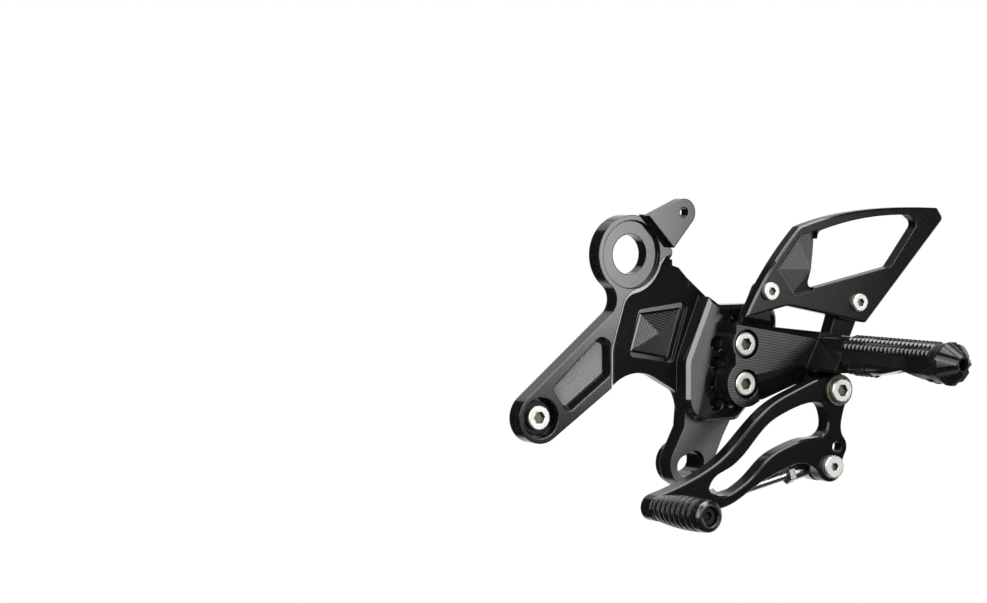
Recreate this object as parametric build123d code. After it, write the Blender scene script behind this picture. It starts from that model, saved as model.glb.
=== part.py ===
"""Rear set footrest for a motorbike, gear shift side.

A stepped base plate bolts to the frame. A carrier plate sits on its drilled pad and holds the footpeg,
the heel guard and the shift lever. A rod with two ball ends runs forward from the lever.

+X points to the rear of the bike, -Y outboard and +Z up. The origin is on the axis of the upper boss, on
the inboard face of the plate. A level is a distance outboard of that face. Sizes are in millimetres.
"""
import math
import os

from build123d import *

# Fits
screw_clearance = 0.1
head_clearance = 1.4
press_clearance = 0.02
running_clearance = 0.03
ball_clearance = 0.05
lever_side_clearance = 0.3
spigot_clearance = 0.05
thread_end_gap = 1.0

# Screws
m8_radius = 4.0
m8_head_radius = 6.7
m8_head_height = 4.6
m8_key = 6.0
m6_radius = 3.0
m6_head_radius = 5.0
m6_head_height = 2.8
m6_key = 4.0
nut_key = 10.0
nut_height = 4.0

# Base plate, raised front part
plate_level = 10.0
plate_edge = 0.8
plate_rear_edge = 2.4
boss_radius = 21.6
boss_bore_radius = 11.0
boss_recess_radius = 18.6
boss_recess_depth = 2.5
front_eye_x = -58.6
front_eye_z = -86.9
front_eye_radius = 13.9
front_recess_radius = 11.0
front_recess_depth = 6.0
arm_root = (4.0, -18.1)
arm_shoulder = (-2.8, -26.1)
arm_rear_x = -10.8
arm_rear_top_z = -52.0
arm_rear_low_z = -71.0
neck_fillet = 8.0
shoulder_fillet = 10.0
arm_rear_fillet = 20.0
pocket_corners = ((-20.5, -43.8), (-13.7, -47.0), (-13.5, -65.6), (-41.6, -85.7), (-51.9, -71.4))
pocket_fillet = 4.5
pocket_depth = 5.0
pocket_taper = 30.0

# Base plate, tab
tab_level = 15.0
tab_back_level = 8.5
tab_hole_x = 31.0
tab_hole_z = 22.7
tab_end_radius = 7.6
tab_hole_radius = 2.75
tab_wall_top = (8.0, 21.1)
tab_wall_low = (24.5, 3.4)
lug_top = (11.2, 21.6)
lug_rear = (26.7, 2.0)
lug_low = (26.7, -3.0)
lug_root = (16.8, -5.4)
lug_fillet = 4.0

# Base plate, sloped web
web_front_level = 8.4
web_rear_level = 4.4
web_top = ((29.4, -3.4), (29.5, -6.6), (34.0, -8.0), (39.4, -13.4))
web_rear_x = 57.5
web_rear_top_z = -28.0
web_ramp_top_z = -77.0
web_ramp_low_z = -86.0
arch_top = (5.0, -65.2)
arch_rear = (20.0, -69.6)
arch_low = (32.6, -76.4)
arch_fillet = 7.0
gem_rim = ((6.2, -30.4), (41.0, -26.5), (30.0, -60.5), (-0.4, -56.0))
gem_rim_fillet = 3.0
gem_floor = ((9.1, -32.6), (36.4, -30.2), (28.0, -58.0), (2.6, -53.3))
gem_apex = (20.5, -43.9)
gem_bevel = 1.0
gem_floor_level = 3.4
gem_apex_level = 6.6

# Base plate, lower arm
lower_arm_level = 11.0
lower_eye_x = 38.8
lower_eye_z = -116.8
lower_eye_radius = 13.5
lower_arm_front = ((35.4, -84.0), (34.4, -96.0))
lower_arm_rear = ((67.0, -90.5), (60.4, -102.0))
lower_boss_radius = 12.0
lower_boss_depth = 6.0
slot_length = 18.5
slot_width = 12.5
slot_angle = 22.0

# Base plate, adjuster pad
pad_level = 17.0
pad_back_level = 3.0
pad_edge = 2.2
pad_peak = (48.0, -24.0)
pad_top_z = -28.7
pad_top_x = 55.0
pad_rear_x = 94.0
pad_rear_low_z = -66.0
pad_low_corner = (67.0, -93.0)
pad_low_z = -93.8
pad_front_x = 32.6
pad_front_top_z = -59.0
pad_top_fillet = 5.0
pad_rear_fillet = 9.0
pad_low_fillet = 6.0
pad_front_fillet = 13.0
hole_radius = 4.2
hole_column_pitch = 11.9
hole_row_pitch = 11.0
hole_first_x = 51.9
hole_first_z = -39.1
hole_rows = ((1, 5), (0, 5), (0, 4), (0, 3))

# Carrier plate
carrier_thickness = 11.8
carrier_rows = (1, 3)
carrier_column = 1
upper_lobe_radius = 9.3
lower_lobe_radius = 12.8
carrier_waist_x = 56.4
carrier_corner = (57.0, -38.2)
carrier_top = ((120.0, -45.4), (129.5, -47.4))
carrier_low = ((102.0, -73.4), (79.0, -81.6), (64.0, -83.4))
top_bevel_start = (56.3, -38.9)
top_bevel_end = (113.5, -49.0)
top_bevel_slope = 0.5
top_bevel_reach = 5.0
low_bevel_start = (70.5, -67.0)
low_bevel_end = (112.0, -61.5)
low_bevel_slope = 0.36
low_bevel_reach = 24.0
carrier_recess_depth = 5.0
front_arm_thickness = 4.5
front_arm_radius = 4.6
front_arm_base = ((58.8, -42.0), (80.6, -44.0))
rear_arm_thickness = 9.0
rear_arm_radius = 8.0
rear_arm_base = ((121.0, -46.6), (135.4, -48.0))
lever_lug_radius = 8.8
lever_boss_radius = 6.8

# Peg hub
hub_length = 26.2
hub_top_z = -47.4
hub_low_z = -66.4
hub_rear_x = 129.5
hub_front_top_x = 114.3
hub_front_low_x = 104.0
hub_fillet = 1.5
hub_thread_depth = 28.0

# Heel guard
guard_thickness = 7.0
guard_front_bolt = (74.0, -20.9)
guard_rear_bolt = (135.6, -28.6)
guard_tip = (58.0, -35.0)
guard_front_mid = (70.3, -14.6)
guard_shoulder = (94.8, 14.4)
guard_top_mid = (128.0, 21.9)
guard_top_far = (171.5, 24.5)
guard_rear_top = (192.8, 24.0)
guard_rear_tip = (197.2, 18.0)
guard_rear_low = (141.6, -40.2)
guard_low = ((132.6, -38.9), (115.0, -34.8), (86.9, -29.2))
guard_shoulder_fillet = 6.0
guard_tip_fillet = 2.6
guard_bevel = 1.0
window_corners = ((107.4, 11.8), (101.4, -20.6), (158.6, -9.0), (178.4, 15.6))
window_top_mid = (130.1, 17.3)
window_top_end = (172.0, 20.2)
window_fillet = 3.5
recess_corners = ((80.0, -8.9), (95.2, 9.6), (107.0, 12.4), (104.4, -20.8), (91.6, -23.6))
recess_ridge = (104.0, -9.3)
recess_depth = 3.6
recess_ridge_height = 2.2

# Footpeg
peg_x = 118.6
peg_z = -56.6
peg_radius = 10.6
peg_length = 75.0
peg_flute_width = 6.6
peg_flute_depth = 1.1
peg_notch_start = 19.0
peg_notch_deep = 52.0
peg_notch_end = 71.0
peg_notch_depth = 5.6
peg_core_radius = 7.2
peg_core_floor = 32.0
peg_bolt_head_height = 8.0
peg_bolt_grip = 24.0

# Peg end cap
cap_collar_radius = 11.0
cap_collar_length = 5.6
cap_groove_radius = 10.0
cap_groove_length = 1.2
cap_radius = 11.7
cap_rim_length = 2.2
cap_length = 17.5
cap_end_radius = 5.8
cap_spigot_length = 12.0
cap_socket_radius = 3.2
cap_socket_depth = 9.0
cap_scallop_count = 8
cap_scallop_radius = 3.0
cap_scallop_depth = 1.5

# Shift lever
lever_x = 116.2
lever_z = -76.6
lever_standoff = 4.2
lever_thickness = 9.0
lever_edge = 0.8
pivot_boss_radius = 9.4
rod_hole_offset = (-3.6, -42.7)
rod_boss_radius = 8.6
spare_hole_offset = (0.2, -31.8)
spare_boss_radius = 7.4
spare_recess_radius = 5.2
spare_recess_depth = 3.0
toe_x = -2.3
toe_z = -135.8
toe_boss_radius = 7.3
lever_top_leave = 105.0
lever_top_curve = (
    (102.8, -70.4), (90.4, -74.8), (72.0, -82.8), (56.1, -95.3),
    (41.0, -109.0), (25.0, -118.4), (10.1, -124.4),
)
toe_top_angle = 105.0
toe_low_angle = 275.0
lever_low_curve = ((22.0, -140.0), (43.1, -137.0), (61.3, -127.4), (80.3, -119.2), (95.0, -116.8))
rod_boss_low_angle = 208.0
rod_boss_rear_angle = 370.0
spare_boss_low_angle = -25.0
spare_boss_top_angle = 42.0
link_rear_curve = ((119.8, -98.0), (121.0, -90.0))
pivot_boss_low_angle = -25.0
lever_window_curve = (
    (30.2, -126.0), (34.4, -120.6), (43.0, -116.6), (56.4, -106.4), (69.9, -93.5), (83.6, -86.8),
    (98.0, -83.0), (106.0, -83.9), (109.8, -91.0), (109.6, -98.0), (105.0, -102.2), (97.5, -102.9),
    (83.7, -106.1), (70.0, -112.1), (57.9, -122.4), (46.4, -129.4), (36.0, -131.2),
)

# Lever pivot
sleeve_radius = 5.0
bearing_radius = 7.5
bearing_width = 4.0
bearing_land = 0.8
pivot_washer_radius = 8.8
pivot_washer_height = 1.6
pivot_washer_rim = 1.2
pivot_washer_rim_height = 0.8
pivot_head_height = 3.4
pivot_bolt_grip = 9.0

# Toe peg
toe_length = 46.0
toe_base_radius = 7.0
toe_mid_radius = 9.2
toe_mid = 29.0
toe_end_radius = 8.3
toe_end_round = 1.6
toe_rib_count = 8
toe_rib_pitch = 5.0
toe_rib_start = 2.4
toe_groove_width = 1.8
toe_groove_depth = 1.2
toe_recess_depth = 5.0

# Shift rod
rod_length = 92.0
rod_slope = 12.5
rod_radius = 3.0
rod_end_radius = 8.8
rod_end_width = 6.8
rod_shank_radius = 4.8
rod_shank_start = 7.0
rod_shank_length = 17.5
rod_spacer_radius = 4.6
rod_spacer_height = 1.5
rod_thread_depth = 8.0
ball_radius = 6.35
ball_width = 9.0
rod_bolt_head_radius = 6.4
rod_bolt_head_height = 3.4
rod_bolt_tail = 1.5

# Frame bolt
frame_washer_radius = 9.2
frame_washer_height = 1.6
frame_bolt_head_height = 3.0
frame_bolt_tail = 8.0

# Levels and places that follow from the sizes above
carrier_level = pad_level + carrier_thickness
front_arm_back_level = carrier_level - front_arm_thickness
rear_arm_back_level = carrier_level - rear_arm_thickness
guard_level = carrier_level + guard_thickness
peg_level = carrier_level + hub_length
cap_level = peg_level + peg_length
lever_back_level = carrier_level + lever_standoff
lever_level = lever_back_level + lever_thickness
standoff_level = lever_back_level - lever_side_clearance
washer_level = lever_level + lever_side_clearance
rod_level = lever_back_level - rod_spacer_height - ball_width / 2
rod_nut_level = rod_level - ball_width / 2 - nut_height
frame_seat_level = plate_level - front_recess_depth + frame_washer_height
carrier_bolt_x = hole_first_x + carrier_column * hole_column_pitch
carrier_bolt_zs = [hole_first_z - row * hole_row_pitch for row in carrier_rows]
rod_hole_x = lever_x + rod_hole_offset[0]
rod_hole_z = lever_z + rod_hole_offset[1]
spare_hole_x = lever_x + spare_hole_offset[0]
spare_hole_z = lever_z + spare_hole_offset[1]
rod_direction = (-math.cos(math.radians(rod_slope)), 0, -math.sin(math.radians(rod_slope)))


def at(x, z, level):
    """Place on the outboard side: local x to the rear, local y up, local z outboard."""
    return Plane((x, -level, z), x_dir=(1, 0, 0), z_dir=(0, -1, 0)).location


def disc(x, z, radius):
    return Pos(x, z) * Circle(radius)


def outline(*points):
    return make_face(Polyline(*points, close=True).edges())


def hull(*shapes):
    return make_hull([edge for shape in shapes for edge in shape.edges()])


def slab(sketch, inner, outer):
    return extrude(at(0, 0, inner) * sketch, amount=outer - inner)


def round_bar(x, z, radius, inner, outer):
    return slab(disc(x, z, radius), inner, outer)


def rounded(sketch, x, z, radius):
    """Round the corner of a flat outline that lies nearest to a point."""
    corner = sketch.vertices().sort_by_distance((x, z, 0))[0]
    return fillet(corner, radius)


def outer_edges(solid):
    return solid.faces().sort_by(Axis.Y)[0].edges()


def hexagon(key):
    return RegularPolygon(key / 2, 6, major_radius=False)


def screw(radius, grip, head_radius, head_height, key):
    """Screw with its seat at zero, its head outboard and its shank inboard."""
    head = extrude(Circle(head_radius), amount=head_height)
    head = chamfer(head.faces().sort_by(Axis.Z)[-1].edges(), head_height * 0.15)
    shank = extrude(Circle(radius), amount=-grip)
    socket = Pos(0, 0, head_height) * extrude(hexagon(key), amount=-head_height * 0.6)
    return head + shank - socket


def corners_round(sketch, centre):
    """Corners of a flat outline in clockwise order round a point inside it."""
    corners = [(corner.X, corner.Y) for corner in sketch.vertices()]
    return sorted(corners, key=lambda corner: -math.atan2(corner[1] - centre[1], corner[0] - centre[0]))


def facets(corners, base_level, apex, apex_level):
    """Low pyramid with its base on one level and its point on another."""
    ring = [(x, -base_level, z) for x, z in corners]
    point = (apex[0], -apex_level, apex[1])
    faces = [Face(Wire.make_polygon(ring))]
    for index, corner in enumerate(ring):
        faces.append(Face(Wire.make_polygon([corner, ring[(index + 1) % len(ring)], point])))
    return Solid(Shell(faces))


def bevel_cut(start, end, slope, reach):
    """Wedge that slopes inboard from a line on the carrier's face, to the right of the line's direction."""
    length = math.hypot(end[0] - start[0], end[1] - start[1])
    along = ((end[0] - start[0]) / length, 0, (end[1] - start[1]) / length)
    across = Plane((start[0], -carrier_level, start[1]), x_dir=(0, -1, 0), z_dir=along)
    return extrude(across.location * outline((0, 0), (0, reach), (-slope * reach, reach)), amount=length)


def front_part_outline():
    arm_bend = (arm_rear_x, arm_rear_top_z)
    arm_low = (arm_rear_x, arm_rear_low_z)
    eye = disc(front_eye_x, front_eye_z, front_eye_radius)
    shape = hull(eye, outline(arm_root, arm_low, (front_eye_x, front_eye_z)))
    shape -= outline(arm_root, arm_shoulder, arm_bend, arm_low, (boss_radius, arm_rear_low_z))
    shape += disc(0, 0, boss_radius)
    shape += outline(lug_top, lug_rear, lug_low, lug_root)
    shape = rounded(shape, arm_shoulder[0], -boss_radius, shoulder_fillet)
    shape = rounded(shape, boss_bore_radius, -boss_radius, neck_fillet)
    shape = rounded(shape, *arm_bend, arm_rear_fillet)
    return rounded(shape, boss_radius, lug_low[1], lug_fillet)


def web_outline():
    arch = ThreePointArc((arm_rear_x, arm_rear_low_z), arch_top, arch_rear)
    edge = Polyline(
        arch_rear, arch_low, *lower_arm_front, (lower_eye_x, lower_eye_z), *reversed(lower_arm_rear),
        (web_rear_x, lower_arm_rear[0][1]), (web_rear_x, web_rear_top_z), *reversed(web_top),
        lug_low, (0, 0), (arm_rear_x, arm_rear_top_z), (arm_rear_x, arm_rear_low_z),
    )
    shape = Sketch() + make_face(arch.edges() + edge.edges()) + lower_arm_outline()
    return rounded(shape, *arch_low, arch_fillet)


def lower_arm_outline():
    eye = disc(lower_eye_x, lower_eye_z, lower_eye_radius)
    return hull(eye, outline(lower_arm_front[1], lower_arm_rear[1], (lower_eye_x, lower_eye_z)))


def pad_outline():
    shape = outline(
        (pad_front_x, pad_front_top_z), pad_peak, (pad_top_x, pad_top_z), (pad_rear_x, pad_top_z),
        (pad_rear_x, pad_rear_low_z), pad_low_corner, (pad_front_x, pad_low_z),
    )
    shape = rounded(shape, pad_front_x, pad_low_z, pad_front_fillet)
    shape = rounded(shape, pad_low_corner[0], pad_low_corner[1], pad_low_fillet)
    shape = rounded(shape, pad_rear_x, pad_rear_low_z, pad_low_fillet)
    shape = rounded(shape, pad_rear_x, pad_top_z, pad_rear_fillet)
    shape = rounded(shape, pad_top_x, pad_top_z, pad_top_fillet)
    return rounded(shape, pad_front_x, pad_front_top_z, pad_front_fillet)


def web_cut():
    """Space outboard of the sloped web, which ends in a ramp up to the lower arm."""
    face = outline(
        (arm_rear_x, -web_front_level), (web_rear_x, -web_rear_level),
        (web_rear_x, -lower_arm_level), (arm_rear_x, -lower_arm_level),
    )
    ramp = outline(
        (-lower_arm_level, web_ramp_low_z), (-web_rear_level, web_ramp_top_z),
        (-web_rear_level, 0), (-lower_arm_level, 0),
    )
    across = Plane((arm_rear_x, 0, 0), x_dir=(0, 1, 0), z_dir=(1, 0, 0))
    above_face = Pos(0, 0, web_ramp_low_z) * extrude(face, amount=-web_ramp_low_z)
    return above_face & extrude(across.location * ramp, amount=web_rear_x - arm_rear_x)


def gem():
    """Low four-sided pyramid on a bevelled foot."""
    foot = outline(*gem_floor)
    crown = corners_round(offset(foot, -gem_bevel), gem_apex)
    solid = extrude(at(0, 0, gem_floor_level) * foot, amount=gem_bevel, taper=45)
    return solid + facets(crown, gem_floor_level + gem_bevel, gem_apex, gem_apex_level)


def base_plate():
    web = slab(web_outline(), 0, lower_arm_level) - web_cut()
    front = slab(front_part_outline(), 0, plate_level)
    into_web = Vector(plate_edge, plate_level - gem_floor_level / 2, 0)
    rear_edges = [edge for edge in outer_edges(front) if web.is_inside(edge @ 0.5 + into_web)]
    front = chamfer(rear_edges, plate_rear_edge)
    pocket = outline(*pocket_corners)
    pocket = fillet(pocket.vertices(), pocket_fillet)
    front -= extrude(at(0, 0, plate_level) * pocket, amount=-pocket_depth, taper=pocket_taper)

    tab_end = disc(tab_hole_x, tab_hole_z, tab_end_radius)
    tab = hull(tab_end, outline(tab_wall_top, tab_wall_low, (tab_hole_x, tab_hole_z)))
    tab = slab(tab, tab_back_level, tab_level)

    rim = outline(*gem_rim)
    rim = fillet(rim.vertices(), gem_rim_fillet)
    web -= slab(rim, gem_floor_level, lower_arm_level)
    web += gem()

    pad = slab(pad_outline(), pad_back_level, pad_level)
    pad = chamfer(outer_edges(pad), pad_edge)

    plate = front + tab + web + pad
    plate += round_bar(lower_eye_x, lower_eye_z, lower_boss_radius, -lower_boss_depth, lower_arm_level)
    slot = Pos(lower_eye_x, lower_eye_z) * Rot(0, 0, slot_angle) * SlotOverall(slot_length, slot_width)
    plate -= slab(slot, -lower_boss_depth, lower_arm_level)
    plate -= round_bar(0, 0, boss_bore_radius, 0, plate_level)
    plate -= round_bar(0, 0, boss_recess_radius, plate_level - boss_recess_depth, plate_level)
    plate -= round_bar(front_eye_x, front_eye_z, m8_radius + screw_clearance, 0, plate_level)
    front_floor_level = plate_level - front_recess_depth
    plate -= round_bar(front_eye_x, front_eye_z, front_recess_radius, front_floor_level, plate_level)
    plate -= round_bar(tab_hole_x, tab_hole_z, tab_hole_radius, tab_back_level, tab_level)
    for column, (first, last) in enumerate(hole_rows):
        for row in range(first, last):
            x = hole_first_x + column * hole_column_pitch
            z = hole_first_z - row * hole_row_pitch
            plate -= round_bar(x, z, hole_radius, 0, pad_level)
    return plate


def frame_bolt():
    grip = frame_seat_level + frame_bolt_tail
    bolt = screw(m8_radius, grip, m8_head_radius, frame_bolt_head_height, m8_key)
    return at(front_eye_x, front_eye_z, frame_seat_level) * bolt


def frame_bolt_washer():
    ring = disc(front_eye_x, front_eye_z, frame_washer_radius)
    ring -= disc(front_eye_x, front_eye_z, m8_radius + screw_clearance)
    return slab(ring, frame_seat_level - frame_washer_height, frame_seat_level)


def carrier_outline():
    upper_z, lower_z = carrier_bolt_zs
    upper = disc(carrier_bolt_x, upper_z, upper_lobe_radius)
    lower = disc(carrier_bolt_x, lower_z, lower_lobe_radius)
    body = outline(
        carrier_corner, *carrier_top, (hub_rear_x, hub_low_z),
        *carrier_low, (carrier_waist_x, lower_z), (carrier_waist_x, upper_z),
    )
    lug = hull(
        disc(lever_x, lever_z, lever_lug_radius),
        outline((hub_front_low_x, hub_low_z), (hub_rear_x, hub_low_z), (lever_x, hub_top_z)),
    )
    return upper + lower + body + lug


def hub_outline():
    shape = outline(
        (hub_front_top_x, hub_top_z), (hub_rear_x, hub_top_z),
        (hub_rear_x, hub_low_z), (hub_front_low_x, hub_low_z),
    )
    return fillet(shape.vertices(), hub_fillet)


def carrier_plate():
    plate = slab(carrier_outline(), pad_level, carrier_level)
    front_arm = hull(disc(*guard_front_bolt, front_arm_radius), outline(*front_arm_base, guard_front_bolt))
    rear_arm = hull(disc(*guard_rear_bolt, rear_arm_radius), outline(*rear_arm_base, guard_rear_bolt))
    plate += slab(front_arm, front_arm_back_level, carrier_level)
    plate -= bevel_cut(top_bevel_end, top_bevel_start, top_bevel_slope, top_bevel_reach)
    plate -= bevel_cut(low_bevel_start, low_bevel_end, low_bevel_slope, low_bevel_reach)
    plate += slab(rear_arm, rear_arm_back_level, carrier_level)
    plate += slab(hub_outline(), pad_level, peg_level)
    plate += round_bar(lever_x, lever_z, lever_lug_radius, pad_level, carrier_level)
    plate += round_bar(lever_x, lever_z, lever_boss_radius, carrier_level, standoff_level)
    recess_radius = m8_head_radius + head_clearance
    seat_level = carrier_level - carrier_recess_depth
    for z in carrier_bolt_zs:
        plate -= round_bar(carrier_bolt_x, z, m8_radius + screw_clearance, pad_level, carrier_level)
        plate -= round_bar(carrier_bolt_x, z, recess_radius, seat_level, carrier_level)
    for bolt in (guard_front_bolt, guard_rear_bolt):
        plate -= round_bar(*bolt, m6_radius + screw_clearance, rear_arm_back_level, carrier_level)
    plate -= round_bar(lever_x, lever_z, m8_radius + screw_clearance, pad_level, standoff_level)
    plate -= round_bar(peg_x, peg_z, m8_radius + screw_clearance, peg_level - hub_thread_depth, peg_level)
    return plate


def carrier_bolts():
    seat = carrier_level - carrier_recess_depth
    bolt = screw(m8_radius, seat - pad_back_level, m8_head_radius, m8_head_height, m8_key)
    return Compound([at(carrier_bolt_x, z, seat) * bolt for z in carrier_bolt_zs])


def guard_outline():
    front = ThreePointArc(guard_tip, guard_front_mid, guard_shoulder)
    top = Spline(guard_shoulder, guard_top_mid, guard_top_far, guard_rear_top)
    rest = Polyline(guard_rear_top, guard_rear_tip, guard_rear_low, *guard_low, guard_tip)
    shape = Sketch() + make_face(front.edges() + top.edges() + rest.edges())
    shape = rounded(shape, *guard_shoulder, guard_shoulder_fillet)
    shape = rounded(shape, *guard_rear_tip, guard_tip_fillet)
    shape = rounded(shape, *guard_rear_top, guard_tip_fillet)
    return rounded(shape, *guard_rear_low, guard_tip_fillet)


def guard_window():
    top = Spline(window_corners[0], window_top_mid, window_top_end)
    rest = Polyline(window_top_end, *reversed(window_corners))
    shape = Sketch() + make_face(top.edges() + rest.edges())
    return fillet(shape.vertices(), window_fillet)


def is_front_or_top(point):
    """Whether a point lies left of the guard's low edge or above its window, short of the rear tip."""
    if point.X > guard_top_far[0]:
        return False
    return point.X < guard_front_bolt[0] + guard_bevel or point.Z > window_corners[0][1]


def heel_guard():
    guard = slab(guard_outline(), carrier_level, guard_level)
    guard = chamfer([edge for edge in outer_edges(guard) if is_front_or_top(edge @ 0.5)], guard_bevel)
    floor_level = guard_level - recess_depth
    guard -= slab(outline(*recess_corners), floor_level, guard_level)
    guard += facets(recess_corners, floor_level, recess_ridge, floor_level + recess_ridge_height)
    guard -= slab(guard_window(), carrier_level, guard_level)
    for bolt in (guard_front_bolt, guard_rear_bolt):
        guard -= round_bar(*bolt, m6_radius + screw_clearance, carrier_level, guard_level)
    return guard


def guard_bolts():
    grip = guard_thickness + front_arm_thickness - thread_end_gap
    bolt = screw(m6_radius, grip, m6_head_radius, m6_head_height, m6_key)
    return Compound([at(*place, guard_level) * bolt for place in (guard_front_bolt, guard_rear_bolt)])


def footpeg():
    body = extrude(Circle(peg_radius), amount=peg_length)
    flute = Box(2 * peg_flute_depth, peg_flute_width, peg_length)
    for side in (-1, 1):
        body -= Pos(side * peg_radius, 0, peg_length / 2) * flute
    notch = outline(
        (peg_notch_start, -peg_radius), (peg_notch_deep, peg_notch_depth - peg_radius),
        (peg_notch_end, -peg_radius),
    )
    across = Plane((-peg_radius, 0, 0), x_dir=(0, 0, 1), z_dir=(1, 0, 0))
    body -= Rot(0, 0, 180) * extrude(across.location * notch, amount=2 * peg_radius)
    body -= extrude(Circle(m8_radius + screw_clearance), amount=peg_core_floor)
    body -= Pos(0, 0, peg_core_floor) * extrude(Circle(peg_core_radius), amount=peg_length - peg_core_floor)
    return at(peg_x, peg_z, peg_level) * body


def peg_bolt():
    grip = peg_core_floor + peg_bolt_grip
    bolt = screw(m8_radius, grip, m8_head_radius, peg_bolt_head_height, m8_key)
    return at(peg_x, peg_z, peg_level + peg_core_floor) * bolt


def peg_end_cap():
    spigot_radius = peg_core_radius - spigot_clearance
    rim_start = cap_collar_length + cap_groove_length
    rim_end = rim_start + cap_rim_length
    profile = outline(
        (0, -cap_spigot_length), (spigot_radius, -cap_spigot_length), (spigot_radius, 0), (peg_radius, 0),
        (cap_collar_radius, cap_collar_length), (cap_groove_radius, cap_collar_length),
        (cap_groove_radius, rim_start), (cap_radius, rim_start), (cap_radius, rim_end),
        (cap_end_radius, cap_length), (0, cap_length),
    )
    cap = revolve(Plane.XZ * profile, Axis.Z)
    cap -= Pos(0, 0, cap_length) * extrude(Circle(cap_socket_radius), amount=-cap_socket_depth)
    cone_angle = math.degrees(math.atan2(cap_radius - cap_end_radius, cap_length - rim_end))
    lift = cap_scallop_radius - cap_scallop_depth
    scallop = Pos(lift, 0, 0) * Cylinder(cap_scallop_radius, 2 * cap_length)
    scallop = Pos(cap_radius, 0, rim_end) * Rot(0, -cone_angle, 0) * scallop
    for index in range(cap_scallop_count):
        cap -= Rot(0, 0, (index + 0.5) * 360 / cap_scallop_count) * scallop
    return at(peg_x, peg_z, cap_level) * cap


def on_circle(x, z, radius, angle):
    turn = math.radians(angle)
    return (x + radius * math.cos(turn), z + radius * math.sin(turn))


def heading(angle):
    """Direction of travel round a circle at an angle, anticlockwise."""
    turn = math.radians(angle)
    return (-math.sin(turn), math.cos(turn))


def boss_arc(boss, start, stop):
    middle = on_circle(*boss, (start + stop) / 2)
    return ThreePointArc(on_circle(*boss, start), middle, on_circle(*boss, stop))


def boss_link(first, leave, between, second, arrive):
    """Curve that leaves one round boss and runs into the next without a corner."""
    ends = (heading(leave), heading(arrive))
    return Spline(on_circle(*first, leave), *between, on_circle(*second, arrive), tangents=ends)


def lever_outline():
    pivot = (lever_x, lever_z, pivot_boss_radius)
    toe = (toe_x, toe_z, toe_boss_radius)
    rod = (rod_hole_x, rod_hole_z, rod_boss_radius)
    spare = (spare_hole_x, spare_hole_z, spare_boss_radius)
    curves = (
        boss_link(pivot, lever_top_leave, lever_top_curve, toe, toe_top_angle),
        boss_arc(toe, toe_top_angle, toe_low_angle),
        boss_link(toe, toe_low_angle, lever_low_curve, rod, rod_boss_low_angle),
        boss_arc(rod, rod_boss_low_angle, rod_boss_rear_angle),
        boss_link(rod, rod_boss_rear_angle, (), spare, spare_boss_low_angle),
        boss_arc(spare, spare_boss_low_angle, spare_boss_top_angle),
        boss_link(spare, spare_boss_top_angle, link_rear_curve, pivot, pivot_boss_low_angle),
        boss_arc(pivot, pivot_boss_low_angle, lever_top_leave),
    )
    return make_face([edge for curve in curves for edge in curve.edges()])


def lever_window():
    return make_face(Spline(*lever_window_curve, periodic=True).edges())


def shift_lever():
    lever = slab(lever_outline() - lever_window(), lever_back_level, lever_level)
    lever = chamfer(outer_edges(lever), lever_edge)
    lever -= round_bar(lever_x, lever_z, bearing_radius - bearing_land, lever_back_level, lever_level)
    lever -= round_bar(lever_x, lever_z, bearing_radius, lever_back_level, lever_back_level + bearing_width)
    lever -= round_bar(lever_x, lever_z, bearing_radius, lever_level - bearing_width, lever_level)
    for x, z in ((rod_hole_x, rod_hole_z), (spare_hole_x, spare_hole_z), (toe_x, toe_z)):
        lever -= round_bar(x, z, m6_radius + screw_clearance, lever_back_level, lever_level)
    recess_level = lever_back_level + spare_recess_depth
    lever -= round_bar(spare_hole_x, spare_hole_z, spare_recess_radius, lever_back_level, recess_level)
    return lever


def lever_bearings():
    ring = disc(lever_x, lever_z, bearing_radius - press_clearance)
    ring -= disc(lever_x, lever_z, sleeve_radius + running_clearance)
    inner = slab(ring, lever_back_level, lever_back_level + bearing_width)
    outer = slab(ring, lever_level - bearing_width, lever_level)
    return Compound([inner, outer])


def lever_pivot_sleeve():
    ring = disc(lever_x, lever_z, sleeve_radius) - disc(lever_x, lever_z, m8_radius + screw_clearance)
    return slab(ring, standoff_level, washer_level)


def lever_pivot_washer():
    bore = disc(lever_x, lever_z, m8_radius + screw_clearance)
    whole = disc(lever_x, lever_z, pivot_washer_radius)
    rim = whole - disc(lever_x, lever_z, pivot_washer_radius - pivot_washer_rim)
    top = washer_level + pivot_washer_height
    plain = slab(whole - bore, washer_level, top)
    return plain + slab(rim, top, top + pivot_washer_rim_height)


def lever_pivot_bolt():
    seat = washer_level + pivot_washer_height
    grip = seat - carrier_level + pivot_bolt_grip
    return at(lever_x, lever_z, seat) * screw(m8_radius, grip, m8_head_radius, pivot_head_height, m8_key)


def toe_radius(height):
    """Barrel shape of the toe peg: a parabola through its base, its widest place and its end."""
    if height < toe_mid:
        return toe_mid_radius - (toe_mid_radius - toe_base_radius) * (1 - height / toe_mid) ** 2
    share = (height - toe_mid) / (toe_length - toe_mid)
    return toe_mid_radius - (toe_mid_radius - toe_end_radius) * share ** 2


def toe_peg():
    points = [(0, 0), (toe_radius(0), 0)]
    for index in range(toe_rib_count):
        start = toe_rib_start + index * toe_rib_pitch
        stop = start + toe_groove_width
        floor = toe_radius(start) - toe_groove_depth
        points += [(toe_radius(start), start), (floor, start), (floor, stop), (toe_radius(stop), stop)]
    points += [(toe_radius(toe_length - toe_end_round), toe_length - toe_end_round)]
    points += [(toe_end_radius - toe_end_round, toe_length), (0, toe_length)]
    peg = revolve(Plane.XZ * outline(*points), Axis.Z)
    peg -= extrude(Circle(m6_radius + screw_clearance), amount=toe_length)
    recess = Circle(m6_head_radius + screw_clearance)
    peg -= Pos(0, 0, toe_length) * extrude(recess, amount=-toe_recess_depth)
    return at(toe_x, toe_z, lever_level) * peg


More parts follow.
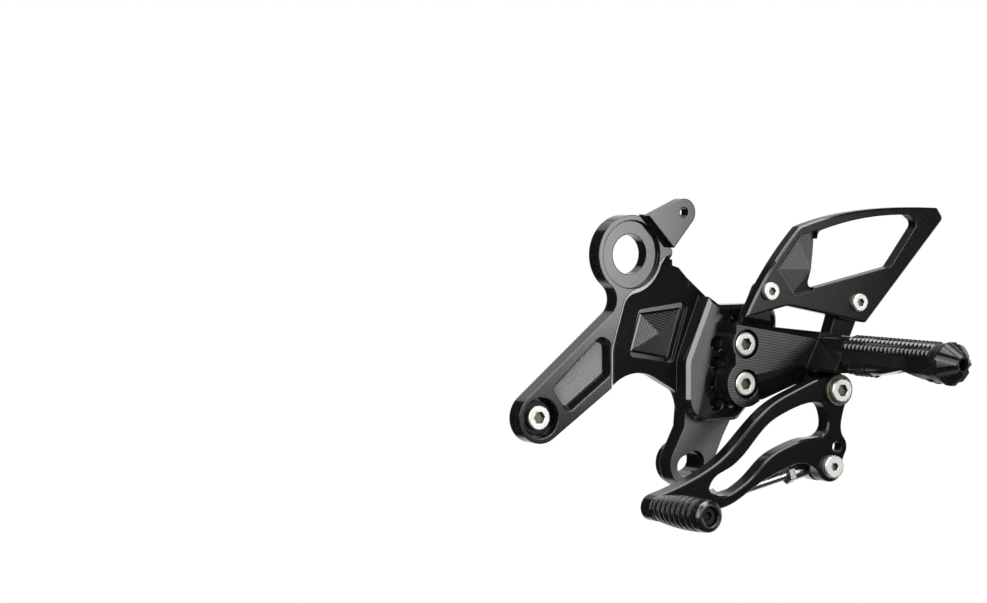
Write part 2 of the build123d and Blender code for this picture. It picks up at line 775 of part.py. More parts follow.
def toe_peg_bolt():
    seat = lever_level + toe_length - toe_recess_depth
    bolt = screw(m6_radius, seat - lever_back_level, m6_head_radius, m6_head_height, m6_key)
    return at(toe_x, toe_z, seat) * bolt


def rod_bolt():
    grip = lever_level - rod_nut_level + rod_bolt_tail
    bolt = screw(m6_radius, grip, rod_bolt_head_radius, rod_bolt_head_height, m6_key)
    return at(rod_hole_x, rod_hole_z, lever_level) * bolt


def nut():
    shape = Rot(0, 0, 30) * hexagon(nut_key)
    return extrude(shape - Circle(m6_radius + screw_clearance), amount=nut_height)


def rod_spacer():
    ring = disc(rod_hole_x, rod_hole_z, rod_spacer_radius)
    ring -= disc(rod_hole_x, rod_hole_z, m6_radius + screw_clearance)
    return slab(ring, lever_back_level - rod_spacer_height, lever_back_level)


def rod_bolt_nut():
    return at(rod_hole_x, rod_hole_z, rod_nut_level) * nut()


def along_rod(distance):
    """Place on the rod: local x forward along the rod, local z outboard, measured from the rear ball."""
    centre = Vector(rod_hole_x, -rod_level, rod_hole_z) + Vector(*rod_direction) * distance
    return Plane(centre, x_dir=rod_direction, z_dir=(0, -1, 0)).location


def rod_ball():
    flat = Box(4 * ball_radius, 4 * ball_radius, ball_width)
    return (Sphere(ball_radius) & flat) - Cylinder(m6_radius + screw_clearance, 2 * ball_width)


def rod_end():
    body = Cylinder(rod_end_radius, rod_end_width)
    shank = extrude(Circle(rod_shank_radius), amount=rod_shank_length - rod_shank_start)
    body += Pos(rod_shank_start, 0, 0) * Rot(0, 90, 0) * shank
    thread = extrude(Circle(rod_radius + screw_clearance), amount=rod_thread_depth)
    body -= Pos(rod_shank_length - rod_thread_depth, 0, 0) * Rot(0, 90, 0) * thread
    return body - Sphere(ball_radius + ball_clearance)


def rear_rod_ball():
    return along_rod(0) * rod_ball()


def rear_rod_end():
    return along_rod(0) * rod_end()


def rear_lock_nut():
    return along_rod(rod_shank_length) * Rot(0, 90, 0) * nut()


def shift_rod():
    start = rod_shank_length - rod_thread_depth + thread_end_gap
    bar = Rot(0, 90, 0) * extrude(Circle(rod_radius), amount=rod_length - 2 * start)
    return along_rod(start) * bar


def front_lock_nut():
    return along_rod(rod_length - rod_shank_length - nut_height) * Rot(0, 90, 0) * nut()


def front_rod_end():
    return along_rod(rod_length) * Rot(0, 0, 180) * rod_end()


def front_rod_ball():
    return along_rod(rod_length) * rod_ball()


pieces = (
    base_plate, frame_bolt, frame_bolt_washer, carrier_plate, carrier_bolts, heel_guard, guard_bolts,
    footpeg, peg_bolt, peg_end_cap, shift_lever, lever_bearings, lever_pivot_sleeve, lever_pivot_washer,
    lever_pivot_bolt, toe_peg, toe_peg_bolt, rod_bolt, rod_spacer, rod_bolt_nut, rear_rod_ball,
    rear_rod_end, rear_lock_nut, shift_rod, front_lock_nut, front_rod_end, front_rod_ball,
)

os.makedirs("parts", exist_ok=True)
for piece in pieces:
    export_step(piece(), "parts/" + piece.__name__ + ".step")
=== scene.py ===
"""Looks for the rear set footrest: finishes, knurled peg, milling lines, lights and camera."""
import math

import bpy
from mathutils import Matrix, Vector


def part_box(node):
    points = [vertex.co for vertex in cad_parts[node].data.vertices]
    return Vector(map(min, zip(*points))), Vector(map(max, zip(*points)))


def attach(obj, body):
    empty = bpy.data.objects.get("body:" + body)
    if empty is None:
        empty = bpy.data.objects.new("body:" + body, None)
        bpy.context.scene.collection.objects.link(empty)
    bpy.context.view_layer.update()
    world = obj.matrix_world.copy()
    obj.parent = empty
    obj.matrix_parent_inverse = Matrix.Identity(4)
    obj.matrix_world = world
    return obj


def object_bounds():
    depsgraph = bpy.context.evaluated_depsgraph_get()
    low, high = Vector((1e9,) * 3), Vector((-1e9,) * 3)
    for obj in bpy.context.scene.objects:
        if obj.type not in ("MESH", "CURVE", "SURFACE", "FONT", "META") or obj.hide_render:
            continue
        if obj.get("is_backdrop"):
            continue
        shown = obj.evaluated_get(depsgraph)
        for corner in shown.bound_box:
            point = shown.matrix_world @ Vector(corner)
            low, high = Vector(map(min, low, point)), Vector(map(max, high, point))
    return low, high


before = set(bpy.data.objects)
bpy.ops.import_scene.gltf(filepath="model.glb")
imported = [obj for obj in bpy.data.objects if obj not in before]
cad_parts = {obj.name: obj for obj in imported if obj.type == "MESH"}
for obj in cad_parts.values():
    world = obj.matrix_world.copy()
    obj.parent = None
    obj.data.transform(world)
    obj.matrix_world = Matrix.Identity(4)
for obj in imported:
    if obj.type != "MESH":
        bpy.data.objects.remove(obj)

bl_info = {
    "name": "Rear Set Footrest",
    "version": (1, 0, 0),
    "blender": (4, 5, 0),
    "location": "View3D > Sidebar > Rear Set",
    "description": "Dresses the rear set footrest and lights it for a product picture",
    "category": "Object",
}

# Grain and lines of the finishes
EDGE_SAMPLES = 6
DYE_GRAIN = 700.0
DYE_SPREAD = 0.1
DYE_BUMP = 0.001
DYE_DEPTH = 0.0002
LINE_DEPTH = 0.0001
LINE_CONTRAST = 0.7
WAVE_SPAN = 20
STEEL_GRAIN = 420.0
STEEL_SPREAD = 0.3
STEEL_SHADE = 0.82
# Painted highlights on sloped edges: their two greys and the width of their blend into the black
HIGHLIGHT_GREYS = (0.26, 0.4)
HIGHLIGHT_BLEND = 0.0004
DARK_STEEL = (0.02, 0.02, 0.02)
LINED_ROUGHNESS = 0.3
RIB_ROUGHNESS = 0.2
CAP_ROUGHNESS = 0.3
TOOTH_ROUGHNESS = 0.25
ROD_POLISH = 0.7
FLOOR_ROUGHNESS = 0.9

# Levels of the faces, outboard of the plate's inboard face
POCKET_LEVEL = 0.005
LOWER_ARM_LEVEL = 0.011
PAD_LEVEL = 0.017
CARRIER_LEVEL = 0.0288
# Levels outboard of which the painted highlights begin, on the front part's edge and on the pocket walls
EDGE_HIGHLIGHT_FROM = 0.007
WALL_HIGHLIGHT_FROM = 0.0036
LEVEL_SLACK = 0.0002

# Screw heads, as shares of their radius where no length is named
GUARD_HEAD_RADIUS = 0.005
SOCKET_WIDTH = 0.46
SOCKET_DEPTH = 0.6
FACE_SKIN = 0.0001

# Teeth of the peg, as shares of their pitch where no length is named
TOOTH_STRETCH = 1.35
TOOTH_FOOT = 0.69
TOOTH_TIP = 0.16
TOOTH_SINK = 0.0001
LEAST_TEETH = 2.0

# Studio
LAMP_GAIN = 4
AMBIENT = 0.2
WHITE_FROM = 0.72
WHITE_FULL = 0.88
FLOOR_REACH = 8.0
SHADOW_FROM = 0.5
SHADOW_END = 1.0
VIEW_REACH = 50

# Each lamp: its window of the view from the object in degrees, and the brightness that it takes a share of
LAMPS = {
    "key": ((10, 34.4, -3, 17), "key", 1),
    "key_low": ((10, 33.8, -5.2, -3), "key", 0.3),
    "corner": ((-25, 8, 17, 46), "key", 0.35),
    "key_edge": ((34.4, 35.6, -3, 17), "key", 0.5),
    "fill": ((35.6, 39.6, -3, 17), "fill", 1),
    "top": ((-56, -4, 59, 111), "top", 1),
    "back": ((170, 190, 26, 40), "back", 1),
    "side": ((-72, -46, -10, 50), "side", 1),
    "rim": ((80, 100, -12, 20), "rim", 1),
}


class RearSetFinish(bpy.types.PropertyGroup):
    """Colours and finishes that a user would change."""

    black: bpy.props.FloatVectorProperty(
        name="Black", description="Dye of the anodised parts", subtype="COLOR",
        default=(0.0025, 0.0025, 0.0026), min=0, max=1)
    gloss: bpy.props.FloatProperty(
        name="Gloss", description="Mirror level of the anodised parts", default=0.5, min=0, max=1,
        subtype="FACTOR")
    roughness: bpy.props.FloatProperty(
        name="Roughness", description="Roughness of the anodised faces", default=0.11, min=0, max=1,
        subtype="FACTOR")
    milled_roughness: bpy.props.FloatProperty(
        name="Milled roughness", description="Roughness of pocket floors and facets", default=0.42,
        min=0, max=1, subtype="FACTOR")
    steel: bpy.props.FloatVectorProperty(
        name="Steel", description="Plated screws", subtype="COLOR", default=(0.6, 0.615, 0.57), min=0, max=1)
    # The socket colour is painted shade inside the screw sockets
    socket: bpy.props.FloatVectorProperty(
        name="Socket", description="Inside of the screw sockets", subtype="COLOR",
        default=(0.11, 0.12, 0.09), min=0, max=1)
    steel_roughness: bpy.props.FloatProperty(
        name="Steel roughness", description="Roughness of the screws", default=0.45, min=0, max=1,
        subtype="FACTOR")
    rod: bpy.props.FloatVectorProperty(
        name="Rod", description="Brushed rod and rod ends", subtype="COLOR", default=(0.5, 0.5, 0.5),
        min=0, max=1)
    floor: bpy.props.FloatVectorProperty(
        name="Floor", description="Pale floor", subtype="COLOR", default=(0.85, 0.85, 0.85), min=0, max=1)


class RearSetSizes(bpy.types.PropertyGroup):
    """Detail sizes that a user would change."""

    edge_round: bpy.props.FloatProperty(
        name="Edge round", description="Radius of the broken edges", default=0.0008, unit="LENGTH")
    line_pitch: bpy.props.FloatProperty(
        name="Line pitch", description="Distance between milling lines", default=0.0015, unit="LENGTH")
    knurl_pitch: bpy.props.FloatProperty(
        name="Knurl pitch", description="Distance between teeth of the peg", default=0.0033, unit="LENGTH")
    knurl_height: bpy.props.FloatProperty(
        name="Knurl height", description="Height of the teeth", default=0.0009, unit="LENGTH")
    knurl_arc: bpy.props.FloatProperty(
        name="Knurl arc", description="Part of the round that has teeth", default=math.radians(118),
        subtype="ANGLE")
    knurl_margin: bpy.props.FloatProperty(
        name="Knurl margin", description="Plain length at the ends of the teeth", default=0.0025,
        unit="LENGTH")
    notch_start: bpy.props.FloatProperty(
        name="Notch start", description="Start of the cut under the peg, from its root", default=0.019,
        unit="LENGTH")
    notch_end: bpy.props.FloatProperty(
        name="Notch end", description="End of the cut under the peg, from its root", default=0.071,
        unit="LENGTH")


class RearSetStage(bpy.types.PropertyGroup):
    """Camera, floor and light that a user would change."""

    azimuth: bpy.props.FloatProperty(
        name="Azimuth", description="Camera angle round the object", default=math.radians(-31.4),
        subtype="ANGLE")
    elevation: bpy.props.FloatProperty(
        name="Elevation", description="Camera angle above the horizon", default=math.radians(2.8),
        subtype="ANGLE")
    distance: bpy.props.FloatProperty(
        name="Distance", description="Camera to its aim point", default=1.6933, unit="LENGTH")
    aim: bpy.props.FloatVectorProperty(
        name="Aim", description="Point at the centre of the picture", default=(-0.0640, 0.0302, -0.0257),
        subtype="TRANSLATION")
    lens: bpy.props.FloatProperty(
        name="Lens", description="Focal length in millimetres on a 36 mm sensor", default=113.07)
    floor_drop: bpy.props.FloatProperty(
        name="Floor drop", description="Floor below the lowest point of the object", default=0.30,
        unit="LENGTH")
    key: bpy.props.FloatProperty(name="Key", description="Brightness of the front soft box", default=7.2)
    top: bpy.props.FloatProperty(name="Top", description="Brightness of the soft box overhead", default=10)
    back: bpy.props.FloatProperty(
        name="Back", description="Brightness of the soft box behind and above", default=0.7)
    fill: bpy.props.FloatProperty(
        name="Fill", description="Brightness of the narrow soft box at the right of the front one",
        default=0.85)
    side: bpy.props.FloatProperty(name="Side", description="Brightness of the left soft box", default=7.5)
    rim: bpy.props.FloatProperty(name="Rim", description="Brightness of the soft box at the right", default=4)
    surround: bpy.props.FloatProperty(
        name="Surround", description="Brightness of the studio in front of the object", default=0.03)
    lamp_distance: bpy.props.FloatProperty(
        name="Lamp distance", description="Lamps to the middle of the object", default=3.0, unit="LENGTH")


def finish():
    return bpy.context.scene.rear_set_finish


def sizes():
    return bpy.context.scene.rear_set_sizes


def stage():
    return bpy.context.scene.rear_set_stage


def node(tree, kind, inputs=None, **settings):
    """New node with its settings made and its inputs set or linked."""
    made = tree.nodes.new(kind)
    for name, value in settings.items():
        setattr(made, name, value)
    for name, value in (inputs or {}).items():
        if isinstance(value, bpy.types.NodeSocket):
            tree.links.new(value, made.inputs[name])
        else:
            made.inputs[name].default_value = value
    return made


def calc(tree, operation, first, second=0.0):
    return node(tree, "ShaderNodeMath", {0: first, 1: second}, operation=operation).outputs[0]


def object_place(tree):
    return node(tree, "ShaderNodeTexCoord").outputs["Object"]


def speckle(tree, place, scale, detail):
    noise = node(tree, "ShaderNodeTexNoise", {"Vector": place, "Scale": scale, "Detail": detail})
    return noise.outputs["Fac"]


def new_material(name):
    material = bpy.data.materials.new(name)
    material.use_nodes = True
    return material, material.node_tree.nodes["Principled BSDF"]


def dress(name, material):
    """Give a CAD node one material on every face."""
    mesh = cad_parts[name].data
    mesh.materials.clear()
    mesh.materials.append(material)
    mesh.polygons.foreach_set("material_index", [0] * len(mesh.polygons))


def dress_where(name, material, test):
    """Give a further material to the faces of a CAD node that pass a test of their centre and normal."""
    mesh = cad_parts[name].data
    mesh.materials.append(material)
    last = len(mesh.materials) - 1
    for face in mesh.polygons:
        if test(face.center, face.normal):
            face.material_index = last


def dyed(share):
    """Dye of the anodised parts, paler by a share."""
    return (*(share * part for part in finish().black), 1)


def anodised(name, roughness, lines=0.0, turn=0.0, waviness=0.0, paleness=1.0, gloss=1.0, edge=1.0):
    """Black anodised finish with broken edges, fine grain and, if asked, milling lines."""
    material, shader = new_material(name)
    tree = material.node_tree
    place = object_place(tree)
    grain = speckle(tree, place, DYE_GRAIN, 3.0)
    varied = node(tree, "ShaderNodeMapRange", {
        "Value": grain, "To Min": roughness * (1 - DYE_SPREAD), "To Max": roughness * (1 + DYE_SPREAD)})
    radius = edge * sizes().edge_round
    normal = node(tree, "ShaderNodeBevel", {"Radius": radius}, samples=EDGE_SAMPLES).outputs["Normal"]
    shader.inputs["Base Color"].default_value = dyed(paleness)
    if lines:
        turned = node(tree, "ShaderNodeMapping", {"Vector": place, "Rotation": (0, turn, 0)})
        wave = node(tree, "ShaderNodeTexWave", {
            "Vector": turned.outputs["Vector"], "Scale": math.tau / (WAVE_SPAN * sizes().line_pitch),
            "Distortion": waviness, "Detail": 2.0}).outputs["Fac"]
        normal = node(tree, "ShaderNodeBump", {
            "Height": wave, "Strength": lines, "Distance": LINE_DEPTH, "Normal": normal}).outputs["Normal"]
        contrast = LINE_CONTRAST * lines
        dark = dyed((1 - contrast) * paleness)
        pale = dyed((1 + contrast) * paleness)
        tint = node(tree, "ShaderNodeMixRGB", {"Fac": wave, "Color1": dark, "Color2": pale})
        tree.links.new(tint.outputs["Color"], shader.inputs["Base Color"])
    rough = node(tree, "ShaderNodeBump", {
        "Height": grain, "Strength": DYE_BUMP, "Distance": DYE_DEPTH, "Normal": normal})
    tree.links.new(rough.outputs["Normal"], shader.inputs["Normal"])
    tree.links.new(varied.outputs["Result"], shader.inputs["Roughness"])
    shader.inputs["Specular IOR Level"].default_value = gloss * finish().gloss
    return material


def fading(material, start, stop, before, after, height, slope):
    """Make an anodised finish go from one roughness to another along X, and from its own colour to black.

    The start and stop hold at one height, and the change comes later above it, by the slope.
    """
    tree = material.node_tree
    place = object_place(tree)
    parts = node(tree, "ShaderNodeSeparateXYZ", {0: place}).outputs
    raised = calc(tree, "SUBTRACT", parts["Z"], height)
    along = calc(tree, "SUBTRACT", parts["X"], calc(tree, "MULTIPLY", raised, slope))
    ramp = node(tree, "ShaderNodeMapRange", {
        "Value": along, "From Min": start, "From Max": stop, "To Min": before, "To Max": after})
    share = node(tree, "ShaderNodeMapRange", {"Value": along, "From Min": start, "From Max": stop})
    shader = tree.nodes["Principled BSDF"]
    colour = shader.inputs["Base Color"]
    own = colour.links[0].from_socket if colour.is_linked else tuple(colour.default_value)
    tint = node(tree, "ShaderNodeMixRGB", {
        "Fac": share.outputs["Result"], "Color1": own, "Color2": dyed(1)})
    tree.links.new(tint.outputs["Color"], colour)
    tree.links.new(ramp.outputs["Result"], shader.inputs["Roughness"])
    return material


def painted_highlight(name, level):
    """Black finish with a painted highlight: outboard of a level the dye gives way to pale grey, like bare
    metal, which stands in for the light that a broken edge catches.
    """
    material, shader = new_material(name)
    tree = material.node_tree
    place = object_place(tree)
    across = node(tree, "ShaderNodeSeparateXYZ", {0: place}).outputs["Y"]
    highlit = node(tree, "ShaderNodeMapRange", {
        "Value": across, "From Min": -level, "From Max": -level - HIGHLIGHT_BLEND}).outputs["Result"]
    grain = speckle(tree, place, STEEL_GRAIN, 3.0)
    dull, bright = ((grey, grey, grey, 1) for grey in HIGHLIGHT_GREYS)
    highlight = node(tree, "ShaderNodeMixRGB", {"Fac": grain, "Color1": dull, "Color2": bright})
    tint = node(tree, "ShaderNodeMixRGB", {"Fac": highlit, "Color1": dyed(1), "Color2": highlight.outputs["Color"]})
    tree.links.new(tint.outputs["Color"], shader.inputs["Base Color"])
    shader.inputs["Roughness"].default_value = finish().milled_roughness
    return material


def steel(name, colour, roughness):
    """Metal with worn spots in its polish and broken edges."""
    material, shader = new_material(name)
    tree = material.node_tree
    place = object_place(tree)
    grain = speckle(tree, place, STEEL_GRAIN, 4.0)
    varied = node(tree, "ShaderNodeMapRange", {
        "Value": grain, "To Min": roughness * (1 - STEEL_SPREAD), "To Max": roughness * (1 + STEEL_SPREAD)})
    shade = (*(STEEL_SHADE * part for part in colour), 1)
    tint = node(tree, "ShaderNodeMixRGB", {"Fac": grain, "Color1": shade, "Color2": (*colour, 1)})
    edge = node(tree, "ShaderNodeBevel", {"Radius": sizes().edge_round}, samples=EDGE_SAMPLES)
    tree.links.new(edge.outputs["Normal"], shader.inputs["Normal"])
    tree.links.new(tint.outputs["Color"], shader.inputs["Base Color"])
    tree.links.new(varied.outputs["Result"], shader.inputs["Roughness"])
    shader.inputs["Metallic"].default_value = 1
    return material


def outboard(normal):
    return normal.y < -0.6


def sloped(normal):
    """Whether a face leans by about half a right angle, as a broken edge does."""
    return -0.8 < normal.y < -0.6


def flat_at(level, centre, normal, slack=LEVEL_SLACK):
    """Whether a face looks straight outboard from a level."""
    return normal.y < -0.99 and abs(centre.y + level) < slack


def is_pocket_floor(centre, normal):
    """Floor of the long pocket in the plate's front arm."""
    return flat_at(POCKET_LEVEL, centre, normal) and centre.x < -0.011


def is_lower_arm(centre, normal):
    """Flat outboard face of the plate's lower arm."""
    return flat_at(LOWER_ARM_LEVEL, centre, normal) and centre.z < -0.085


def is_gem(centre, normal):
    """Faces of the low pyramid in the plate's web, which leans less than they do."""
    near = -0.001 < centre.x < 0.038 and -0.059 < centre.z < -0.029 and centre.y > -0.0068
    return near and normal.y < -0.9 and (abs(normal.z) > 0.02 or normal.x < -0.01 or normal.x > 0.09)


def is_web(centre, normal):
    """Leaning web of the plate."""
    return outboard(normal) and 0.03 < normal.x < 0.09 and abs(normal.z) < 0.02


def is_gem_top(centre, normal):
    """Upper facet of the low pyramid, which faces the dark of the studio."""
    return is_gem(centre, normal) and normal.z > 0.08


def is_front_edge(centre, normal):
    """Sloped edge of the plate's front part beside the web."""
    return sloped(normal) and normal.x > 0.1 and centre.x < 0.022 and -0.0099 < centre.y < -0.0075


def is_gem_wall(centre, normal):
    """Front and rear walls of the pocket round the low pyramid."""
    return sloped(normal) and abs(normal.x) > 0.5 and -0.0045 < centre.y < -0.003 and centre.x < 0.045


def is_pad(centre, normal):
    """Flat outboard face of the drilled pad."""
    return flat_at(PAD_LEVEL, centre, normal) and centre.x > 0.03


def is_guard_facet(centre, normal):
    """Faces of the sunk facets at the front of the guard's window."""
    near = 0.079 < centre.x < 0.108 and -0.024 < centre.z < 0.0125
    return near and outboard(normal) and centre.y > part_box("heel_guard")[0].y + LEVEL_SLACK


def is_guard_wall(centre, normal):
    """Narrow walls of the guard that face forward or up."""
    return normal.y > -0.5 and (normal.x < -0.2 or normal.z > 0.2)


def is_carrier_face(centre, normal):
    """Flat outboard face of the carrier round its screws."""
    return flat_at(CARRIER_LEVEL, centre, normal, FACE_SKIN) and centre.x < 0.112 and centre.z < -0.038


class REARSET_OT_black_parts(bpy.types.Operator):
    """Gives the black anodised parts their finish, with milling lines on the sunk and sloped faces; paler dye
    on some faces, pale grey on sloped edges and a fade to black on the pad are painted light and shade.
    """

    bl_idname = "rearset.black_parts"
    bl_label = "Black parts"

    def execute(self, context):
        gloss_black = finish().roughness
        milled_black = finish().milled_roughness
        swirl = {"turn": math.radians(38), "waviness": 1.5}
        plain = anodised("black_anodised", gloss_black)
        milled = anodised("black_milled", milled_black, lines=0.25, **swirl)
        # Paler dye on the carrier's face is painted light; it fades to the plain black towards the rear
        lined = fading(
            anodised("black_lined", LINED_ROUGHNESS, lines=1, turn=math.radians(80), paleness=9),
            start=0.102, stop=0.114, before=LINED_ROUGHNESS, after=gloss_black, height=-0.049, slope=1.5)
        # Paler dye on the facets of the low pyramid is painted light
        faceted = anodised("black_faceted", LINED_ROUGHNESS, lines=1, turn=math.radians(20), paleness=5)
        sunk = anodised("black_sunk", gloss_black, gloss=0.5)
        shaded = anodised(
            "black_shaded", RIB_ROUGHNESS, lines=0.5, turn=math.radians(70), paleness=1.5, gloss=0.2)
        # Paler dye on the lower arm's face is painted light
        arm = anodised("black_arm", milled_black, lines=0.25, paleness=12, **swirl)
        # Paler dye on the pad is painted light, and its fade to the plain black towards the carrier is a
        # painted reflection and shadow of the carrier
        pad = fading(
            anodised("black_pad", milled_black, paleness=12),
            start=0.0425, stop=0.0475, before=0.5, after=gloss_black, height=-0.06, slope=0.25)
        guard = anodised("black_guard", gloss_black, gloss=0.8)
        ribbed = anodised("black_ribbed", RIB_ROUGHNESS, edge=1.8)
        walled = anodised("black_walled", gloss_black, gloss=0.12)
        capped = anodised("black_cap", CAP_ROUGHNESS, gloss=0.4)
        # Much paler copy of the black dye on the pocket floor, with faint milling lines
        paled = anodised("black_paled", milled_black, lines=0.2, paleness=32, **swirl)
        # Pale grey painted highlights on the sloped edge of the front part and on the walls round the low
        # pyramid
        edge = painted_highlight("painted_highlight", EDGE_HIGHLIGHT_FROM)
        wall = painted_highlight("painted_highlight_wall", WALL_HIGHLIGHT_FROM)
        dress("footpeg", plain)
        dress("shift_lever", sunk)
        dress("toe_peg", ribbed)
        dress("peg_end_cap", capped)
        dress("base_plate", plain)
        dress_where("base_plate", arm, is_lower_arm)
        dress_where("base_plate", faceted, is_gem)
        dress_where("base_plate", sunk, is_web)
        dress_where("base_plate", shaded, is_gem_top)
        dress_where("base_plate", pad, is_pad)
        dress_where("base_plate", edge, is_front_edge)
        dress_where("base_plate", wall, is_gem_wall)
        dress_where("base_plate", paled, is_pocket_floor)
        dress("heel_guard", guard)
        dress_where("heel_guard", milled, is_guard_facet)
        dress_where("heel_guard", walled, is_guard_wall)
        dress("carrier_plate", sunk)
        dress_where("carrier_plate", lined, is_carrier_face)
        return {"FINISHED"}


def screw_axes(name, count):
    """Axes and head radius of the screws in a CAD node, from its box, where two lie at opposite corners."""
    low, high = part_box(name)
    if count == 1:
        return [((low.x + high.x) / 2, (low.z + high.z) / 2)], (high.x - low.x) / 2
    radius = min(high.x - low.x, high.z - low.z) / 2
    if high.x - low.x > high.z - low.z:
        radius = GUARD_HEAD_RADIUS
    return [(low.x + radius, high.z - radius), (high.x - radius, low.z + radius)], radius


class REARSET_OT_steel_parts(bpy.types.Operator):
    """Gives the screws, washers and rod their finish, with a darker colour inside the sockets that paints the
    shade in them.
    """

    bl_idname = "rearset.steel_parts"
    bl_label = "Steel parts"

    def execute(self, context):
        bright = steel("bright_steel", finish().steel, finish().steel_roughness)
        # Darker steel inside the sockets is painted shade; the pivot washer is given the same darker colour
        socket = steel("socket_steel", finish().socket, finish().steel_roughness)
        plain = steel("rod_steel", finish().rod, finish().steel_roughness * ROD_POLISH)
        dark = steel("dark_steel", DARK_STEEL, finish().steel_roughness)
        counts = {"frame_bolt": 1, "carrier_bolts": 2, "guard_bolts": 2, "lever_pivot_bolt": 1, "rod_bolt": 1}
        for name, count in counts.items():
            dress(name, bright)
            axes, radius = screw_axes(name, count)
            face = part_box(name)[0].y

            def in_socket(centre, normal):
                away = min(math.hypot(centre.x - x, centre.z - z) for x, z in axes)
                deep = centre.y - face
                return away < SOCKET_WIDTH * radius and FACE_SKIN < deep < SOCKET_DEPTH * radius

            dress_where(name, socket, in_socket)
        dress("lever_pivot_washer", socket)
        for name in ("lever_bearings", "lever_pivot_sleeve"):
            dress(name, bright)
        for name in ("rod_spacer", "rod_bolt_nut", "rear_rod_end", "rear_lock_nut", "shift_rod",
                     "front_lock_nut", "front_rod_end", "rear_rod_ball", "front_rod_ball"):
            dress(name, plain)
        # The frame bolt's washer is made as dark as these screws, painted shade for the dark ring round that
        # bolt's head
        for name in ("toe_peg_bolt", "peg_bolt", "frame_bolt_washer"):
            dress(name, dark)
        return {"FINISHED"}


def new_tree(name, **inputs):
    """Geometry node tree with named number inputs and one geometry output."""
    tree = bpy.data.node_groups.new(name, "GeometryNodeTree")
    tree.interface.new_socket("Geometry", in_out="OUTPUT", socket_type="NodeSocketGeometry")
    for label, kind in inputs.items():
        tree.interface.new_socket(label, in_out="INPUT", socket_type=kind)
    return tree, tree.nodes.new("NodeGroupInput"), tree.nodes.new("NodeGroupOutput")


def knurl_tree(material):
    """Teeth in rows, laid out flat, then wrapped round a bar along Y with their middle at the top."""
    labels = ("radius", "arc", "length", "pitch", "height")
    tree, given, result = new_tree("knurl", **{label: "NodeSocketFloat" for label in labels})
    radius, arc, length, pitch, height = (given.outputs[label] for label in labels)
    width = calc(tree, "MULTIPLY", radius, arc)
    spaced = calc(tree, "MULTIPLY", pitch, TOOTH_STRETCH)
    rows = calc(tree, "MAXIMUM", calc(tree, "ROUND", calc(tree, "DIVIDE", width, spaced)), LEAST_TEETH)
    columns = calc(tree, "MAXIMUM", calc(tree, "ROUND", calc(tree, "DIVIDE", length, pitch)), LEAST_TEETH)
    grid = node(tree, "GeometryNodeMeshGrid", {
        "Size X": width, "Size Y": length, "Vertices X": rows, "Vertices Y": columns})
    foot = calc(tree, "MULTIPLY", pitch, TOOTH_FOOT)
    tip = calc(tree, "MULTIPLY", pitch, TOOTH_TIP)
    tooth = node(tree, "GeometryNodeMeshCone", {
        "Vertices": 4, "Radius Top": tip, "Radius Bottom": foot, "Depth": height})
    square = node(tree, "GeometryNodeTransform", {
        "Geometry": tooth.outputs["Mesh"], "Rotation": (0, 0, math.radians(45))})
    spread = node(tree, "GeometryNodeInstanceOnPoints", {
        "Points": grid.outputs["Mesh"], "Instance": square.outputs["Geometry"],
        "Scale": (TOOTH_STRETCH, 1.0, 1.0)})
    real = node(tree, "GeometryNodeRealizeInstances", {0: spread.outputs["Instances"]})
    place = node(tree, "GeometryNodeInputPosition").outputs[0]
    parts = node(tree, "ShaderNodeSeparateXYZ", {0: place})
    angle = calc(tree, "DIVIDE", parts.outputs["X"], radius)
    reach = calc(tree, "ADD", parts.outputs["Z"], radius)
    wrapped = node(tree, "ShaderNodeCombineXYZ", {
        "X": calc(tree, "MULTIPLY", reach, calc(tree, "SINE", angle)), "Y": parts.outputs["Y"],
        "Z": calc(tree, "MULTIPLY", reach, calc(tree, "COSINE", angle))})
    bent = node(tree, "GeometryNodeSetPosition", {
        "Geometry": real.outputs[0], "Position": wrapped.outputs[0]})
    done = node(tree, "GeometryNodeSetMaterial", {"Geometry": bent.outputs[0], "Material": material})
    tree.links.new(done.outputs[0], result.inputs[0])
    return tree


def grown(name, tree, place, **inputs):
    """Object with the mesh that a geometry node tree makes, its place put into the mesh."""
    maker = bpy.data.objects.new(name + "_maker", bpy.data.meshes.new(name))
    bpy.context.scene.collection.objects.link(maker)
    modifier = maker.modifiers.new(name, "NODES")
    modifier.node_group = tree
    sockets = {item.name: item.identifier for item in tree.interface.items_tree if item.in_out == "INPUT"}
    for label, value in inputs.items():
        modifier[sockets[label]] = value
    maker.update_tag()
    depsgraph = bpy.context.evaluated_depsgraph_get()
    mesh = bpy.data.meshes.new_from_object(maker.evaluated_get(depsgraph))
    bpy.data.objects.remove(maker)
    mesh.transform(place)
    made = bpy.data.objects.new(name, mesh)
    bpy.context.scene.collection.objects.link(made)
    return made


class REARSET_OT_knurl(bpy.types.Operator):
    """Grows the teeth on the top and underside of the footpeg."""

    bl_idname = "rearset.knurl"
    bl_label = "Knurl"

    def execute(self, context):
        low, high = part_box("footpeg")
        radius = (high.z - low.z) / 2
        centre = (low + high) / 2
        tree = knurl_tree(anodised("black_knurl", TOOTH_ROUGHNESS))
        size = sizes()
        length = high.y - low.y
        stretches = {
            "knurl_top": (0, size.knurl_margin, length - size.knurl_margin),
            "knurl_low_root": (math.pi, size.knurl_margin, size.notch_start),
            "knurl_low_end": (math.pi, size.notch_end, length - size.knurl_margin),
        }
        for name, (turn, start, stop) in stretches.items():
            middle = Vector((centre.x, high.y - (start + stop) / 2, centre.z))
            place = Matrix.Translation(middle) @ Matrix.Rotation(turn, 4, "Y")
            piece = grown(name, tree, place, radius=radius - TOOTH_SINK, arc=size.knurl_arc,
                          length=stop - start, pitch=size.knurl_pitch, height=size.knurl_height)
            if not piece.data.polygons:
                raise RuntimeError("no teeth for " + name)
            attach(piece, "plate_side")
        return {"FINISHED"}


